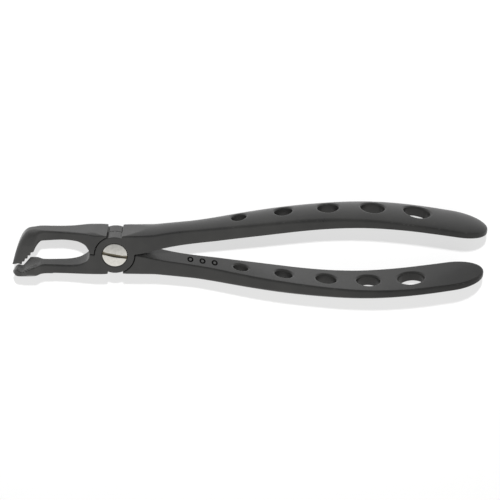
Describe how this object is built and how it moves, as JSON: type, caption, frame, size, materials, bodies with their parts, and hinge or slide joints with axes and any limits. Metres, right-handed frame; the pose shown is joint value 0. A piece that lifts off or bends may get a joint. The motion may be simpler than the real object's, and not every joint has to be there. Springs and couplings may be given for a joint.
{
  "type": "dental extraction forceps",
  "caption": "Hinged dental extraction forceps with serrated spoon beaks, a crown window, a lapped screw joint and slim curved handles lightened by round holes.",
  "frame": {"origin": "on the pivot axis at the joint's back face", "axes": "+Z along the pivot axis towards the screw head, +X from the pivot towards the handle ends, +Y towards the front lever's handle"},
  "size_m": [0.1753, 0.0348, 0.019],
  "materials": {
    "coated_steel": "satin charcoal coating",
    "bright_steel": "fine turned, bright"
  },
  "bodies": {
    "back_half": {"back_lever": "coated_steel", "pivot_screw": "bright_steel"},
    "front_half": {"front_lever": "coated_steel"}
  },
  "joints": [
    {"name": "handle_pivot", "type": "hinge", "parent": "back_half", "child": "front_half", "pos_m": [0, 0, 0.0055], "axis": [0, 0, 1], "range_deg": [0, 36]}
  ]
}
